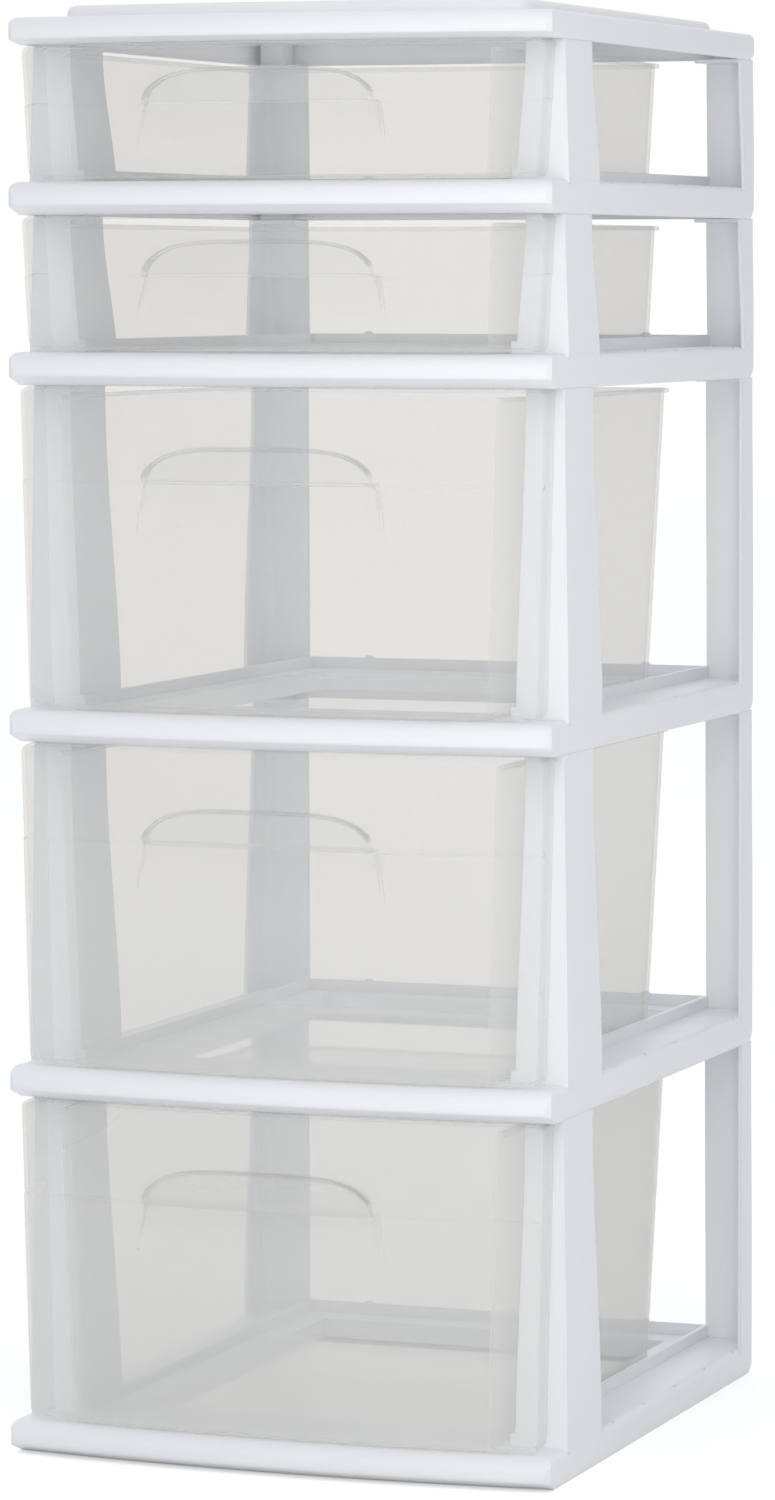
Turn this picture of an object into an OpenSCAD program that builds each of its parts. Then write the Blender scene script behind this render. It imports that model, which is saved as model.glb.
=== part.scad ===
// Free-standing drawer tower: moulded tier frames that plug into one another,
// a snap-on lid, and one clear drawer sliding in each tier.
// X is across the front, -Y is the front, Z is up. Origin: middle of the floor print.

/* [Tower] */
// Width over the shelf rings
tower_w = 315; // [290:1:340]
// Depth from the front of the lip to the back of the posts
tower_d = 392; // [360:1:420]
// Height of a small tier, seam to seam
small_h = 93.5; // [85:0.5:120]
// Height of a large tier, seam to seam
large_h = 196.5; // [160:0.5:230]
// Wall thickness of the white mouldings
wall = 2.2; // [1.8:0.1:3]

/* [Shelf ring] */
// Height of the ring from its seam to its flat top
ring_h = 18.3; // [16:0.1:22]
// How far the lip stands in front of the posts, on the centre line
lip_reach = 42; // [30:1:50]
// Radius of the bowed front, seen from above
bow_r = 1125.5; // [900:0.5:1500]
// How much is taken off the lip's upright corners
corner_cut = 3; // [1:0.5:5]
// Radius of the ring's rear corners, seen from above
rear_r = 12; // [11:1:16]
// Width of the runner that carries each drawer, from its guide rib inwards
runner_w = 16.5; // [10:0.5:24]
// Height of the guide ribs and of the rear rail above the seam
rib_top = 25; // [22:0.5:30]

/* [Posts] */
// Width of a front post at its foot
front_foot_w = 30.3; // [26:0.1:34]
// Width of a front post at its head
front_head_w = 22.3; // [18:0.1:26]
// Depth of a large tier's front post at its foot
front_foot_d = 58; // [50:1:66]
// Depth of a large tier's front post at its head
front_head_d = 48; // [40:1:56]
// Depth of a small tier's front post at its foot
small_front_foot_d = 53; // [46:1:60]
// Depth of a small tier's front post at its head
small_front_head_d = 45; // [38:1:54]
// Width of the back flange of a rear post
rear_flange_w = 31; // [26:1:36]
// Depth of a large tier's rear post at its foot
rear_foot_d = 32; // [28:1:38]
// Depth of a large tier's rear post at its head
rear_head_d = 22; // [20:1:28]
// Depth of a small tier's rear post at its foot
small_rear_foot_d = 28; // [25:1:32]
// Depth of a small tier's rear post at its head
small_rear_head_d = 26; // [22:1:30]
// How far a post leans in from its foot to its head
post_lean = 2.3; // [1:0.1:3]

/* [Lid] */
// Height of the lid's rim
rim_h = 15; // [12:0.5:18]
// Height of the raised middle of the lid above its rim
crown_h = 7; // [4:0.5:10]

/* [Drawers] */
// Wall thickness of the clear mouldings
skin = 2; // [1.6:0.1:2.6]
// Half width of the tub at its floor
tub_foot = 121.5; // [118:0.5:122]
// Length of the tub's rear end behind the middle of the tower
tub_rear = 103; // [90:1:120]
// Half width of the drawer front along its bottom edge
face_foot = 149.2; // [147:0.1:151]
// Half width of the drawer front along its top edge
face_head = 153.8; // [152:0.1:154.5]
// Width of the hooded pull
pull_w = 135; // [110:1:150]
// Middle of the pull, from the middle of the drawer
pull_x = -9; // [-20:1:20]
// Height of the hooded pull
pull_h = 20; // [16:1:24]
// How far the hood stands out of the front
pull_out = 5.5; // [3:0.5:6]
// How deep the finger scoop under the hood is
scoop_depth = 8; // [5:0.5:10]

/* [Hidden] */
white = [0.93, 0.94, 0.95];
clear = [0.86, 0.87, 0.86, 0.45];

// tiers from the top down: height of each, and the level of its lower seam
tier_h = [small_h, small_h, large_h, large_h, large_h];
function seam(i) = i == len(tier_h) - 1 ? 0 : seam(i + 1) + tier_h[i + 1];
function large(i) = i > 1;
top_seam = seam(0) + tier_h[0];

half_w = tower_w / 2;
rear_y = tower_d / 2;
nose_y = -tower_d / 2;
post_y = nose_y + lip_reach;
// segments of the wide bow and of the small rounds
bow_fn = 720;
arc_fn = 48;
// reach of a cutting shape, its margin past an edge, and the overlap that fuses two pieces
big = 600;
past = 20;
sink = 0.1;
eps = 0.01;

// how far outside a front corner the point lies where its wedge meets the bow's
corner_out = 6;

// the lip's rounded section, as inset from its nose and height above the seam
lip_nose_z = 7.8;
lip_top_in = 10.6;
lip_foot_in = 13;
// where the nose rounds into the slope below it, and the wall's inner corner there, from the nose's level
nose_round = [[0.2, -1.4], [0.9, -2.6]];
nose_inner = [1, -1];
// the side and rear band, and how far in the cross wall starts
band_r = 4;
band_tuck = 2;
ring_tuck = 6;
cross_in = 3;
// guide rib beside the tub, and its gap
rib_t = 3.2;
rib_x = tub_foot + 3;
hole_x = rib_x - runner_w;
hole_front = post_y + 36;
hole_rear = rear_y - 24;
skirt_z = 7;
// pegs on the post heads, and the sockets that take them
peg = 10;
peg_h = 6;
peg_gap = 0.3;
front_peg = [139, post_y + 14];
rear_peg = [143.5, rear_y - 12.5];
// how far a rear post's hollow is cut past its open edges
open_past = 1;
// where the side ribs under the ring stand, along Y
rib_ys = [-72, -16, 40, 96, 152];
// level inside the ring where the posts start, and the depth of the shoulder that they fill
post_z = 8;
shoulder = band_r + 1;
// stop lugs on the rear rail
lug_x = 88;
lug_r = 3.8;
lug_h = 1.6;

// lid: raised middle, as inset from the sides, from the nose and from the back
crown_in = 21.5;
crown_front_in = 30;
crown_rear = rear_y - 20;
crown_bow = 1147.5;
crown_r = 10;
crown_fr = 5;
lid_nose_z = 5.5;
lid_tuck = 4;

// drawers, measured from the seam of their tier
run_gap = 0.3;
floor_z = ring_h + run_gap;
rim_gap = 5.5;
side_draft = 0.0367;
rear_draft = 0.065;
tub_r = 9;
tub_rim = 2.5;
tub_front = post_y - 62;
face_z = ring_h + 1;
face_gap = 1.2;
face_set = 10;
face_lean = 1.2;
face_r = 5;
face_draft = 6.5;
face_rim = 8;
face_step = 1;
face_deep = 80;
hood_root = 14;
hood_side = 4;
// step line below the drawer's top, and how far the finger scoop fades out below it
large_line = 52.3;
small_line = 33.3;
large_reach = 36;
small_reach = 28;
cap_x = 139;
post_gap = 0.4;
scoop_flare = 8.5;
scoop_in = 1;

// ---------------------------------------------------------------- outlines

// Points of an elliptical arc about c, from angle a0 to a1
function arc(c, rx, ry, a0, a1, n) =
    [for (k = [0:n]) let (a = a0 + (a1 - a0) * k / n) [c[0] + rx * cos(a), c[1] + ry * sin(a)]];
// Eases from 0 to 1 with level ends
function ease(t) = t * t * (3 - 2 * t);
// A number rounded to a thousandth, so that every piece of a sweep shares the same planes
function mil(v) = round(v * 1000) / 1000;
// Y of a front corner's centre, and the direction out of it in which it meets the bow
function corner_y(hw, nose, br, fr) = mil(nose + br - sqrt(pow(br - fr, 2) - pow(hw - fr, 2)));
function bow_dir(hw, br, fr) = let (a = asin((hw - fr) / (br - fr))) [sin(a), -cos(a)];
function joint_point(hw, nose, br, fr) =
    let (q = [hw - fr, corner_y(hw, nose, br, fr)] + (fr + corner_out) * bow_dir(hw, br, fr))
    [mil(q[0]), mil(q[1])];

// Region in front of the bow's two end planes
module bow_region(hw, nose, br, fr) {
    cx = hw - fr;
    cy = corner_y(hw, nose, br, fr);
    q = joint_point(hw, nose, br, fr);
    polygon([[-cx, cy], [-q[0], q[1]], [-q[0], nose - past], [q[0], nose - past], q, [cx, cy]]);
}

// Flat outline with a bowed front, moved in by d on every side
module plan(hw, nose, br, fr, y1, rr, d = 0) {
    cx = hw - fr;
    cy = corner_y(hw, nose, br, fr);
    intersection() {
        translate([0, nose + br]) circle(r = br - d, $fn = bow_fn);
        bow_region(hw, nose, br, fr);
    }
    for (s = [-1, 1]) {
        translate([s * cx, cy]) circle(r = fr - d, $fn = arc_fn);
        translate([s * (hw - rr), y1 - rr]) circle(r = rr - d, $fn = arc_fn);
    }
    translate([-hw + d, cy]) square([2 * (hw - d), y1 - rr - cy]);
    translate([-hw + rr, y1 - rr - eps]) square([2 * (hw - rr), rr - d + eps]);
}

// Sweeps a section (x = inset, y = height) round the bowed front, as far back as y_end
module sweep_front(hw, nose, br, fr, y_end) {
    cx = hw - fr;
    cy = corner_y(hw, nose, br, fr);
    q = joint_point(hw, nose, br, fr);
    intersection() {
        translate([0, nose + br]) rotate_extrude($fn = bow_fn) translate([br, 0]) mirror([1, 0]) children();
        translate([0, 0, -big]) linear_extrude(2 * big) bow_region(hw, nose, br, fr);
    }
    for (s = [0, 1]) mirror([s, 0, 0]) {
        intersection() {
            translate([cx, cy]) rotate_extrude($fn = arc_fn) translate([fr, 0]) mirror([1, 0]) children();
            translate([0, 0, -big]) linear_extrude(2 * big)
                polygon([[cx, cy], q, [hw + past, q[1]], [hw + past, cy]]);
        }
        translate([hw, y_end]) rotate([90, 0, 0])
            linear_extrude(y_end - cy) mirror([1, 0]) children();
    }
}

// Sweeps a section along both sides from y0 and round the back
module sweep_back(hw, y0, y1, rr) {
    for (s = [0, 1]) mirror([s, 0, 0]) {
        translate([hw, y1 - rr]) rotate([90, 0, 0])
            linear_extrude(y1 - rr - y0) mirror([1, 0]) children();
        translate([hw - rr, y1 - rr])
            rotate_extrude(angle = 90, $fn = arc_fn) translate([rr, 0]) mirror([1, 0]) children();
    }
    translate([-hw + rr, y1]) rotate([90, 0, 90])
        linear_extrude(2 * (hw - rr)) mirror([1, 0]) children();
}

// ---------------------------------------------------------------- shelf ring

// Nose of the rolled lip: round top, and an underside that slopes back to the seam
function lip_nose(top, nose) = concat(
    arc([lip_top_in, nose], lip_top_in, top - nose, 90, 180, 8),
    [for (p = nose_round) [p[0], nose + p[1]]],
    [[lip_foot_in, 0]]);

// Wall of the lip
module lip_section(top, nose) {
    t = wall;
    polygon(concat(
        lip_nose(top, nose),
        [[lip_foot_in, t], [t + nose_inner[0], nose + nose_inner[1]]],
        arc([lip_top_in, nose], lip_top_in - t, top - nose - t, 180, 90, 8)));
}

// Everything inside the lip's outer face
module lip_inside(top, nose) {
    polygon(concat(lip_nose(top, nose), [[lip_reach + past, 0], [lip_reach + past, top]]));
}

// Turns a section round the bow's axis
module along_bow() {
    translate([0, nose_y + bow_r]) rotate_extrude($fn = bow_fn)
        translate([bow_r, 0]) mirror([1, 0]) children();
}

// Bowed lip as far back as y_end. Its ends are the side band, the first section given, carried on to
// the nose; the second section is all that lies between the bands.
module bowed_lip(top, nose, y_end) {
    corner = half_w - corner_cut;
    y = nose_y + bow_r - sqrt(pow(bow_r, 2) - pow(corner, 2));
    difference() {
        union() {
            intersection() {
                along_bow() lip_section(top, nose);
                lengthwise(y_end) children(1);
            }
            intersection() {
                along_bow() lip_inside(top, nose);
                lengthwise(y_end) for (s = [0, 1])
                    mirror([s, 0]) translate([half_w, 0]) mirror([1, 0]) children(0);
            }
        }
        for (s = [0, 1]) mirror([s, 0, 0]) translate([corner, y]) linear_extrude(top + 1)
            polygon([[-past, -past], [corner_cut + past, corner_cut + past], [corner_cut + past, -past]]);
    }
}

// A section seen from the front, from in front of the nose back to y_end
module lengthwise(y_end) {
    translate([0, y_end, 0]) rotate([90, 0, 0]) linear_extrude(y_end - nose_y + 1) children();
}

// Outer face of the side and rear wall: tucked in at the seam, rounded over at the top
function band_face(top, tuck) = concat(
    [[band_tuck, 0], [band_tuck / 3, tuck / 2], [0, tuck]],
    arc([band_r, top - band_r], band_r, band_r, 180, 90, 6));

// Side and rear wall
module band_section(top, tuck) {
    t = wall;
    polygon(concat(
        band_face(top, tuck),
        arc([band_r, top - band_r], band_r - t, band_r - t, 90, 180, 4),
        [[t, tuck], [t + band_tuck / 3, tuck / 2], [t + band_tuck, 0]]));
}

// Everything between the two side walls' outer faces
module between_bands(top, tuck) {
    face = band_face(top, tuck);
    polygon(concat(
        [for (p = face) [p[0] - half_w, p[1]]],
        [for (k = [len(face) - 1:-1:0]) [half_w - face[k][0], face[k][1]]]));
}

// Flat top inside the rounded edges
module deck() {
    r = rear_r - band_r;
    intersection() {
        translate([0, nose_y + bow_r]) circle(r = bow_r - lip_top_in, $fn = bow_fn);
        union() {
            translate([-half_w + band_r, nose_y]) square([tower_w - 2 * band_r, tower_d - rear_r]);
            translate([-half_w + rear_r, nose_y]) square([tower_w - 2 * rear_r, tower_d - band_r]);
            for (s = [-1, 1]) translate([s * (half_w - rear_r), rear_y - rear_r])
                circle(r = r, $fn = arc_fn);
        }
    }
}

module ring_plate() {
    translate([0, 0, ring_h - wall]) linear_extrude(wall) difference() {
        deck();
        translate([-hole_x, hole_front]) square([2 * hole_x, hole_rear - hole_front]);
    }
}

module ring_ribs() {
    // wall across the front, over the top edge of the drawer below
    translate([-half_w + cross_in, post_y, 0]) cube([tower_w - 2 * cross_in, wall, ring_h - eps]);
    // skirt round the hole
    translate([0, 0, skirt_z]) linear_extrude(ring_h - skirt_z - eps) difference() {
        translate([-hole_x - wall, hole_front - wall])
            square([2 * (hole_x + wall), hole_rear - hole_front + 2 * wall]);
        translate([-hole_x, hole_front]) square([2 * hole_x, hole_rear - hole_front]);
    }
    for (s = [0, 1]) mirror([s, 0, 0]) {
        // guide rib beside the tub
        translate([rib_x, post_y, ring_h - wall])
            cube([rib_t, rear_y - wall - post_y, rib_top - ring_h + wall]);
        // stiffeners under the runner
        for (y = rib_ys) translate([hole_x + eps, y, skirt_z])
            cube([half_w - wall / 2 - hole_x, wall, ring_h - skirt_z - eps]);
        // sockets for the posts of the tier below
        for (p = [front_peg, rear_peg]) translate([p[0], p[1], 0]) linear_extrude(ring_h - eps)
            difference() {
                square(peg + 2 * (peg_gap + wall), center = true);
                square(peg + 2 * peg_gap, center = true);
            }
        // stop lug on the rear rail
        translate([lug_x, rear_y, rib_top]) rotate([90, 0, 0]) intersection() {
            translate([0, lug_h - lug_r]) cylinder(r = lug_r, h = wall, $fn = arc_fn);
            translate([-big / 2, -sink, 0]) cube([big, lug_r, wall]);
        }
    }
    // rear rail between the rear posts
    translate([-half_w + rear_flange_w - wall, rear_y - wall, ring_h - wall])
        cube([tower_w - 2 * rear_flange_w + 2 * wall, wall, rib_top - ring_h + wall]);
}

module ring() {
    bowed_lip(ring_h, lip_nose_z, post_y + eps) {
        band_section(ring_h, ring_tuck);
        between_bands(ring_h, ring_tuck);
    }
    sweep_back(half_w, post_y, rear_y, rear_r) band_section(ring_h, ring_tuck);
    ring_plate();
    ring_ribs();
}

// ---------------------------------------------------------------- posts

// Upright strip between two edges that both ease from foot to head, for a tier h high
module leaning_strip(h, lo_foot, lo_head, hi_foot, hi_head) {
    n = 6;
    function z(k) = post_z + (h - post_z) * k / n;
    polygon(concat(
        [for (k = [0:n]) [lo_foot + (lo_head - lo_foot) * ease(k / n), z(k)]],
        [for (k = [n:-1:0]) [hi_foot + (hi_head - hi_foot) * ease(k / n), z(k)]]));
}

// Solid where a strip seen from the front crosses a strip seen from the side
module crossed(h, x, y) {
    intersection() {
        translate([0, big, 0]) rotate([90, 0, 0]) linear_extrude(2 * big)
            leaning_strip(h, x[0], x[1], x[2], x[3]);
        translate([-big, 0, 0]) rotate([90, 0, 90]) linear_extrude(2 * big)
            leaning_strip(h, y[0], y[1], y[2], y[3]);
    }
}

// Footprint of one side of the ring, moved in by d
module column(d) {
    square([half_w - d, rear_y - rear_r]);
    translate([0, post_y + d]) square([half_w - d, -post_y]);
    translate([0, rear_y - rear_r - eps]) square([half_w - rear_r, rear_r - d + eps]);
    translate([half_w - rear_r, rear_y - rear_r]) circle(r = rear_r - d, $fn = arc_fn);
}

// Fills the ring's rounded shoulder flush with the post above it
module foot(x0, y0, y1) {
    translate([0, 0, ring_h - shoulder]) linear_extrude(shoulder) intersection() {
        difference() {
            column(0);
            column(wall);
        }
        translate([x0, y0]) square([half_w - x0, y1 - y0]);
    }
}

// Everything lower than the underside of the ring's flat top
module below_plate() {
    translate([-big, -big, 0]) cube([2 * big, 2 * big, ring_h - wall]);
}

// Channel open at the back, closed at its head
module front_post(h, foot_d, head_d) {
    t = wall;
    x = [half_w - front_foot_w, half_w - post_lean - front_head_w, half_w, half_w - post_lean];
    y = [post_y, post_y, post_y + foot_d, post_y + head_d];
    difference() {
        crossed(h, x, y);
        difference() {
            crossed(h, x + [t, t, -t, -t], y + [t, t, t, t]);
            translate([0, -big, h - t]) cube([big, 2 * big, big]);
        }
        below_plate();
    }
    foot(half_w - front_foot_w, post_y + t, post_y + foot_d);
    translate([front_peg[0], front_peg[1], h - eps]) peg();
}

// Angle open at the front inner corner, closed at its head
module rear_post(h, foot_d, head_d) {
    t = wall;
    x = [half_w - rear_flange_w, half_w - rear_flange_w, half_w, half_w - post_lean];
    y = [rear_y - foot_d, rear_y - post_lean - head_d, rear_y, rear_y - post_lean];
    difference() {
        intersection() {
            crossed(h, x, y);
            linear_extrude(h) column(0);
        }
        intersection() {
            crossed(h, x - [open_past, open_past, t, t], y - [open_past, open_past, t, t]);
            linear_extrude(h - t) column(t);
        }
        below_plate();
    }
    foot(x[0], y[0], rear_y);
    translate([rear_peg[0], rear_peg[1], h - eps]) peg();
}

module peg() {
    translate([-peg / 2, -peg / 2, 0]) cube([peg, peg, peg_h]);
}

module frame(i) {
    h = tier_h[i];
    color(white) translate([0, 0, seam(i)]) {
        ring();
        for (s = [0, 1]) mirror([s, 0, 0]) {
            if (large(i)) {
                front_post(h, front_foot_d, front_head_d);
                rear_post(h, rear_foot_d, rear_head_d);
            } else {
                front_post(h, small_front_foot_d, small_front_head_d);
                rear_post(h, small_rear_foot_d, small_rear_head_d);
            }
        }
    }
}

// ---------------------------------------------------------------- lid

// Rounded shoulder from the rim up to the raised middle
module crown_section() {
    t = wall;
    polygon(concat(
        [[0, rim_h - t], [0, rim_h]],
        arc([crown_fr, rim_h + crown_h - crown_fr], crown_fr, crown_fr, 180, 90, 6),
        arc([crown_fr, rim_h + crown_h - crown_fr], crown_fr - t, crown_fr - t, 90, 180, 4),
        [[t, rim_h - t]]));
}

module lid() {
    hw = half_w - crown_in;
    nose = nose_y + crown_front_in;
    color(white) translate([0, 0, top_seam]) {
        bowed_lip(rim_h, lid_nose_z, post_y + eps) {
            band_section(rim_h, lid_tuck);
            between_bands(rim_h, lid_tuck);
        }
        sweep_back(half_w, post_y, rear_y, rear_r) band_section(rim_h, lid_tuck);
        translate([0, 0, rim_h - wall]) linear_extrude(wall) difference() {
            deck();
            plan(hw, nose, crown_bow, crown_r, crown_rear, crown_r, wall);
        }
        sweep_front(hw, nose, crown_bow, crown_r, crown_rear - crown_r) crown_section();
        sweep_back(hw, crown_rear - crown_r - eps, crown_rear, crown_r) crown_section();
        translate([0, 0, rim_h + crown_h - wall]) linear_extrude(wall)
            plan(hw, nose, crown_bow, crown_r, crown_rear, crown_r, crown_fr);
        lid_ribs();
    }
}

// Sockets over the posts, and the webs that tie them to the rim
module lid_ribs() {
    for (s = [0, 1]) mirror([s, 0, 0]) for (p = [front_peg, rear_peg]) {
        translate([p[0], p[1], 0]) linear_extrude(rim_h - eps) difference() {
            square(peg + 2 * (peg_gap + wall), center = true);
            square(peg + 2 * peg_gap, center = true);
        }
    }
    translate([-half_w + cross_in, post_y, 0]) cube([tower_w - 2 * cross_in, wall, rim_h - eps]);
}

// ---------------------------------------------------------------- drawers

// The tub seen from above, open-ended past the drawer front
module tub_outline(hx, y1) {
    translate([-hx, tub_front]) square([2 * hx, y1 - tub_r - tub_front]);
    translate([-hx + tub_r, tub_front]) square([2 * (hx - tub_r), y1 - tub_front]);
    for (s = [-1, 1]) translate([s * (hx - tub_r), y1 - tub_r]) circle(r = tub_r, $fn = 32);
}

// Drafted tub from its floor up by t, grown or shrunk by g
module tub_solid(t, g) {
    hull() {
        linear_extrude(eps) tub_outline(tub_foot + g, tub_rear + g);
        translate([0, 0, t - eps]) linear_extrude(eps)
            tub_outline(tub_foot + side_draft * t + g, tub_rear + rear_draft * t + g);
    }
}

// Everything behind the bowed front face; d moves the face back
module behind_face(h, line, d) {
    translate([0, bow_r, -face_r]) cylinder(r = bow_r - d, h = line + face_r, $fn = bow_fn);
    translate([0, bow_r, line - eps]) cylinder(r = bow_r - d - face_step, h = h - line, $fn = bow_fn);
}

// Everything further back than d behind the bow of the front
module behind_bow(d) {
    translate([0, bow_r, -big / 2]) cylinder(r = bow_r - d, h = big, $fn = bow_fn);
}

// The front's drafted outline as a solid, shrunk by g
module face_outline(h, g) {
    top = h - g;
    dx = (face_head - face_foot) / h;
    intersection_for (s = [0, 1]) mirror([s, 0, 0])
        translate([face_foot - g, 0, 0]) rotate([0, 0, face_draft])
            translate([0, face_deep, 0]) rotate([90, 0, 0]) linear_extrude(2 * face_deep) polygon(concat(
                [[-big, g]],
                arc([-face_r + dx * face_r, g + face_r], face_r, face_r, 270, 360, 5),
                arc([dx * top - face_r, top - face_r], face_r, face_r, 0, 90, 5),
                [[-big, top]]));
}

// Arch of the hood, seen from the front, shrunk by g
module pull_arch(g) {
    w = pull_w / 2 - g;
    top = pull_h - g;
    n = 14;
    function z(x) = g + (top - g) * sqrt(1 - pow(x, 4));
    translate([pull_x, face_deep, 0]) rotate([90, 0, 0]) linear_extrude(2 * face_deep) polygon(concat(
        [[-w, g]],
        [for (k = [-n + 1:n - 1]) let (x = sin(90 * k / n)) [w * x, z(x)]],
        [[w, g]]));
}

// Hood: bulges most at its lower edge; d is the skin left outside it
module hood(d) {
    a = asin((pull_w / 2 + abs(pull_x) + hood_side) / bow_r);
    intersection() {
        pull_arch(d);
        translate([0, bow_r, 0]) rotate([0, 0, 270 - a])
            rotate_extrude(angle = 2 * a, $fn = bow_fn) polygon(concat(
                [[bow_r - hood_root, d]],
                arc([bow_r - face_step - d, d], pull_out + face_step, pull_h - 2 * d, 0, 90, 7),
                [[bow_r - hood_root, pull_h - d]]));
    }
}

// Finger scoop below the hood, fading out downwards; d makes the larger outer copy
module scoop(reach, d) {
    w = pull_w / 2 - scoop_in + d;
    n = 8;
    function out(k) = d + scoop_depth * (0.5 + 0.5 * cos(180 * k / n));
    intersection() {
        translate([pull_x, face_deep, 0]) rotate([90, 0, 0]) linear_extrude(2 * face_deep)
            polygon([[-w, d], [w, d], [w + scoop_flare, -reach - d], [-w - scoop_flare, -reach - d]]);
        translate([-big / 2, 0, 0]) rotate([90, 0, 90]) linear_extrude(big) polygon(concat(
            [[-face_deep / 2, d]],
            [for (k = [0:n]) [out(k), d * (1 - k / n) - reach * k / n]],
            [[-face_deep / 2, -reach]]));
    }
}

// Drawer front: bowed skin with step, hood and scoop, and a rim that wraps back to the posts
module drawer_face(h, line, reach) {
    back = post_y - post_gap;
    intersection() {
        translate([0, nose_y + face_set, face_z]) rotate([face_lean, 0, 0]) {
            intersection() {
                face_outline(h, 0);
                difference() {
                    face_body(h, line, reach, 0);
                    face_body(h, line, reach, skin);
                }
            }
            // rim all round
            intersection() {
                difference() {
                    face_outline(h, 0);
                    face_outline(h, skin);
                }
                difference() {
                    behind_face(h, line, 0);
                    behind_bow(face_rim);
                }
            }
            // side wings reach back to the post faces
            intersection() {
                difference() {
                    face_outline(h, 0);
                    face_outline(h, skin);
                }
                behind_face(h, line, 0);
                union() {
                    for (s = [0, 1]) mirror([s, 0, 0]) translate([cap_x, -face_deep, -past])
                        cube([face_deep, 2 * face_deep, h + 2 * past]);
                }
            }
        }
        translate([-big / 2, back - big, 0]) cube([big, big, big]);
    }
}

module face_body(h, line, reach, d) {
    difference() {
        union() {
            behind_face(h, line, d);
            translate([0, 0, line]) hood(d);
        }
        translate([0, 0, line]) scoop(reach, d);
    }
}

module drawer(i) {
    h = tier_h[i];
    face_h = h - face_gap - face_z;
    line = face_h - (large(i) ? large_line : small_line);
    reach = large(i) ? large_reach : small_reach;
    t = h - rim_gap - floor_z;
    color(clear) translate([0, 0, seam(i)]) {
        drawer_face(face_h, line, reach);
        intersection() {
            translate([0, 0, floor_z]) difference() {
                union() {
                    tub_solid(t, 0);
                    tub_rim(t);
                }
                translate([0, 0, skin]) tub_solid(t, -skin);
            }
            // trimmed to the inside of the front's skin
            translate([0, nose_y + face_set, face_z]) rotate([face_lean, 0, 0])
                behind_bow(skin / 2 + face_step);
        }
    }
}

// Stiffening rim round the tub's mouth
module tub_rim(t) {
    translate([0, 0, t - tub_rim]) linear_extrude(tub_rim)
        tub_outline(tub_foot + side_draft * t + tub_rim, tub_rear + rear_draft * t + tub_rim);
}

// ---------------------------------------------------------------- nodes

lid();
frame(0);  // small_frame_1
frame(1);  // small_frame_2
frame(2);  // large_frame_1
frame(3);  // large_frame_2
frame(4);  // large_frame_3
drawer(0);  // small_drawer_1
drawer(1);  // small_drawer_2
drawer(2);  // large_drawer_1
drawer(3);  // large_drawer_2
drawer(4);  // large_drawer_3
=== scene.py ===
# %% [markdown]
# # A plastic drawer tower
# This lesson dresses a moulded drawer tower for a plain studio picture. The white frames and the lid come
# in as solids that already have the right shape, so they only need a finish. The clear drawers are made
# again here as smooth shells, because soft moulded curves catch the light in a way that a faceted solid
# can't.

import math

import bmesh
import bpy
from mathutils import Euler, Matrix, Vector


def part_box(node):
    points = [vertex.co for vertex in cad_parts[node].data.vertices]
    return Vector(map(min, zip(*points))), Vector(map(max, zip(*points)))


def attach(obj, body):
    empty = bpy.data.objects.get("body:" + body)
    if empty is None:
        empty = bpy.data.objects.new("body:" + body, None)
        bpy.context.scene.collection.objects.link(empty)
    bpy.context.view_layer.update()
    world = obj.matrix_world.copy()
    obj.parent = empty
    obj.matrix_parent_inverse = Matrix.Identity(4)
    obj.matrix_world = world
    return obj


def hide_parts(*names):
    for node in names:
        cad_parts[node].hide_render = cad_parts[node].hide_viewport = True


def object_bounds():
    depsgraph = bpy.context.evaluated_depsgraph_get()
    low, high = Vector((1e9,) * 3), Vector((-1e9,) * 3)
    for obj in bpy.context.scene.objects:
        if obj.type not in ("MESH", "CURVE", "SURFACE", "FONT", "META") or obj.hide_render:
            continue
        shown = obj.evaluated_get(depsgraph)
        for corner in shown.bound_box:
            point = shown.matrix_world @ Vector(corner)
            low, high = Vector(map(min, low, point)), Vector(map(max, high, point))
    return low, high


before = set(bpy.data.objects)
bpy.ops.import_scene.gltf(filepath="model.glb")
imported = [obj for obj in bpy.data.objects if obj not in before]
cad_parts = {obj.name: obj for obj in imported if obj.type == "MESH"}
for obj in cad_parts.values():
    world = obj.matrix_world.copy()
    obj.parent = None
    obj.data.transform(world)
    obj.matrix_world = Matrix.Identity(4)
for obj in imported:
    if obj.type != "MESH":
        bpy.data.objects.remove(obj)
solid_box = [[float(v) for v in corner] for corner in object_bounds()]
print("solids:", sorted(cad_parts))
print("box of the solids:", solid_box)

# %% [markdown]
# ## Camera
# The tower is seen from its right, a little above the middle of its height, through a long lens, so its
# upright edges stay nearly parallel. The camera is almost level, and the frame is shifted down instead of
# tilting the camera, the way a view camera's back is moved. That keeps the uprights from leaning.

# %% Place the camera
MM = 0.001
CAMERA_AT = Vector((1162, -3134, 652)) * MM
CAMERA_YAW = 20.40
CAMERA_PITCH = -1.74
IMAGE_LONG_SIDE = 1500
FOCAL_IN_PIXELS = 5875
AXIS_ABOVE_MIDDLE = 300
SENSOR = 36.0
FARTHEST_SEEN = 60

camera_data = bpy.data.cameras.new("camera")
camera_data.sensor_width = SENSOR
camera_data.lens = SENSOR * FOCAL_IN_PIXELS / IMAGE_LONG_SIDE
camera_data.shift_y = -AXIS_ABOVE_MIDDLE / IMAGE_LONG_SIDE
camera_data.clip_end = FARTHEST_SEEN
camera = bpy.data.objects.new("camera", camera_data)
camera.location = CAMERA_AT
camera.rotation_euler = Euler((math.radians(90 + CAMERA_PITCH), 0, math.radians(CAMERA_YAW)))
bpy.context.scene.collection.objects.link(camera)
bpy.context.scene.camera = camera
print("lens", round(camera_data.lens, 1), "mm")

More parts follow.
